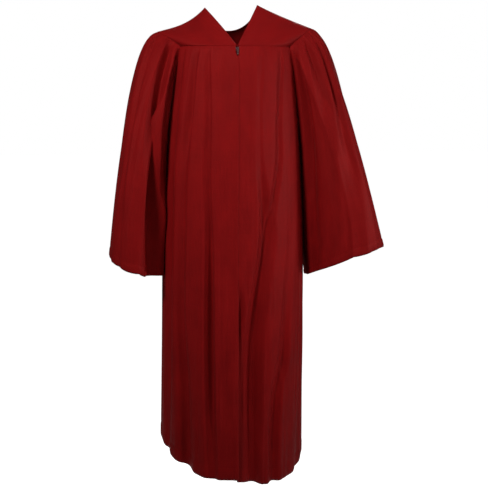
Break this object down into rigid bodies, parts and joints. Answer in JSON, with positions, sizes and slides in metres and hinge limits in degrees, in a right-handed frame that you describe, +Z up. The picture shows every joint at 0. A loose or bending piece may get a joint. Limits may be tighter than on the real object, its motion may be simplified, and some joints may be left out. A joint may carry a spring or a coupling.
{
  "type": "graduation gown",
  "caption": "Full-length graduation gown in worn shape, with a yoke, V neck, pleated body, wide bell sleeves and a front zip with a hinged pull.",
  "frame": {"origin": "midway between the two neck points at the top of the shoulders, where the wearer's shoulders hold the gown up", "axes": "+Z up, from hem to neck; the front faces -Y; +X is towards the wearer's left; metres"},
  "size_m": [0.8, 0.3632, 1.3721],
  "materials": {
    "cloth": "maroon matt-satin polyester, soft sheen",
    "zip_tape": "woven tape, matt",
    "zip_teeth": "moulded coil, satin",
    "zip_metal": "dark enamelled metal"
  },
  "bodies": {
    "gown": {"yoke_front_right": "cloth", "yoke_front_left": "cloth", "yoke_back": "cloth", "front_right": "cloth", "front_left": "cloth", "back": "cloth", "sleeve_right": "cloth", "sleeve_left": "cloth", "zip_tape_right": "zip_tape", "zip_tape_left": "zip_tape", "zip_coil": "zip_teeth", "zip_stop": "zip_metal", "zip_slider": "zip_metal"},
    "zip_tab": {"zip_pull": "zip_metal"}
  },
  "joints": [
    {"name": "zip_pull_hinge", "type": "hinge", "parent": "gown", "child": "zip_tab", "pos_m": [0.00495, -0.12147, -0.12793], "axis": [-1, 0, 0], "range_deg": [0, 160]}
  ]
}
